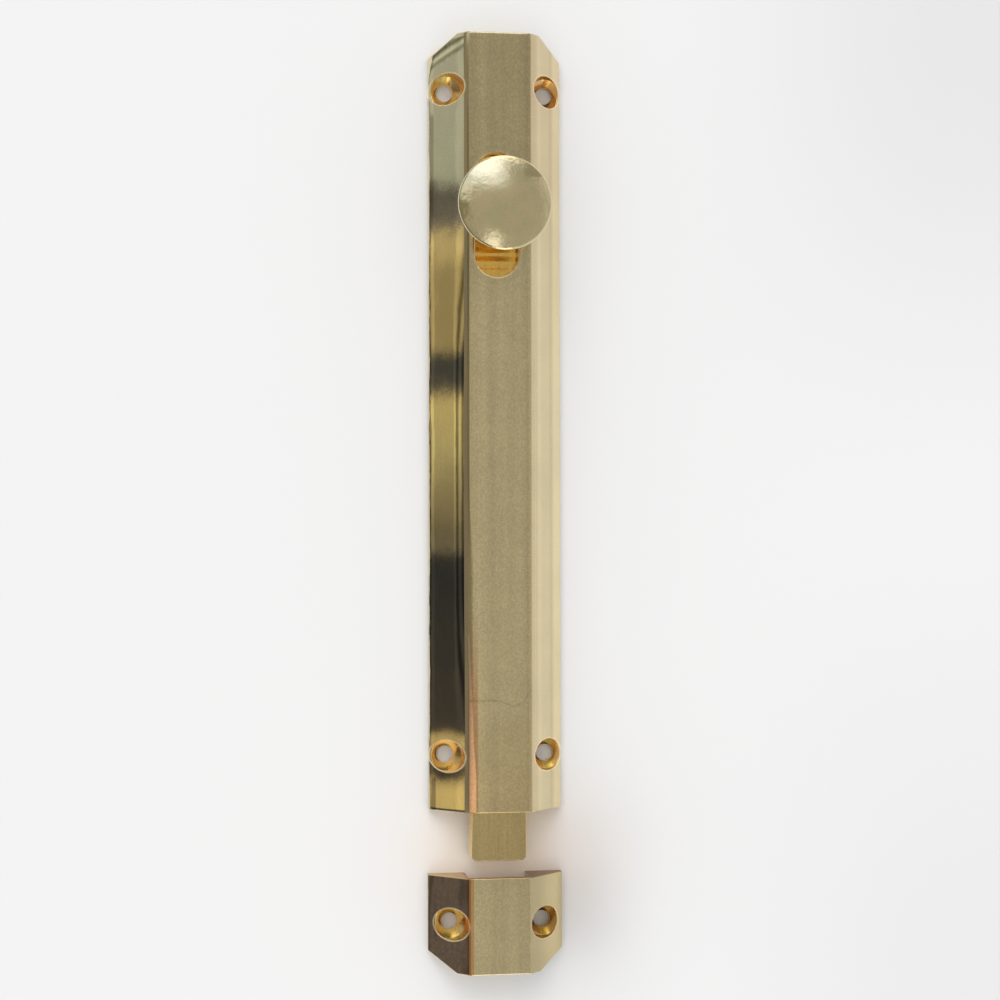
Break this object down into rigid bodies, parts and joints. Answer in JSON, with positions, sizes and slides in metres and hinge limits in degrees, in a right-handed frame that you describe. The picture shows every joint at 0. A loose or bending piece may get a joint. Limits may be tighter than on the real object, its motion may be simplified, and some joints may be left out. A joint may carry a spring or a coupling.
{
  "type": "flat door bolt with keep",
  "caption": "Surface-mounted flat slide bolt in polished brass, with a bevelled casing, a domed disc knob on a sliding bar, and a matching bevelled keep.",
  "frame": {"origin": "middle of the whole set (casing and keep as laid out) on the back plane that lies against the door and frame", "axes": "+X across the bolt, +Y along it towards the knob end (the bar shoots towards -Y), +Z out of the door face"},
  "size_m": [0.0356, 0.245, 0.0237],
  "materials": {
    "polished_brass": "polished",
    "bar_brass": "satin",
    "plain_brass": "satin",
    "spring_steel": "satin"
  },
  "bodies": {
    "casing": {"body_casing": "polished_brass", "back_plate": "plain_brass", "plate_pin_1": "plain_brass", "plate_pin_2": "plain_brass", "plate_pin_3": "plain_brass", "plate_pin_4": "plain_brass", "plate_pin_5": "plain_brass", "plate_pin_6": "plain_brass"},
    "bolt": {"bolt_bar": "bar_brass", "knob": "polished_brass", "knob_screw": "plain_brass", "leaf_spring": "spring_steel", "spring_rivet_1": "plain_brass", "spring_rivet_2": "plain_brass"},
    "keep": {"keep_casing": "polished_brass"}
  },
  "joints": [
    {"name": "bolt_slide", "type": "slide", "parent": "casing", "child": "bolt", "axis": [0, -1, 0], "range_m": [-0.0105, 0.0141]},
    {"name": "keep_slide", "type": "slide", "parent": "casing", "child": "keep", "axis": [0, 1, 0], "range_m": [-0.03, 0.011]}
  ]
}
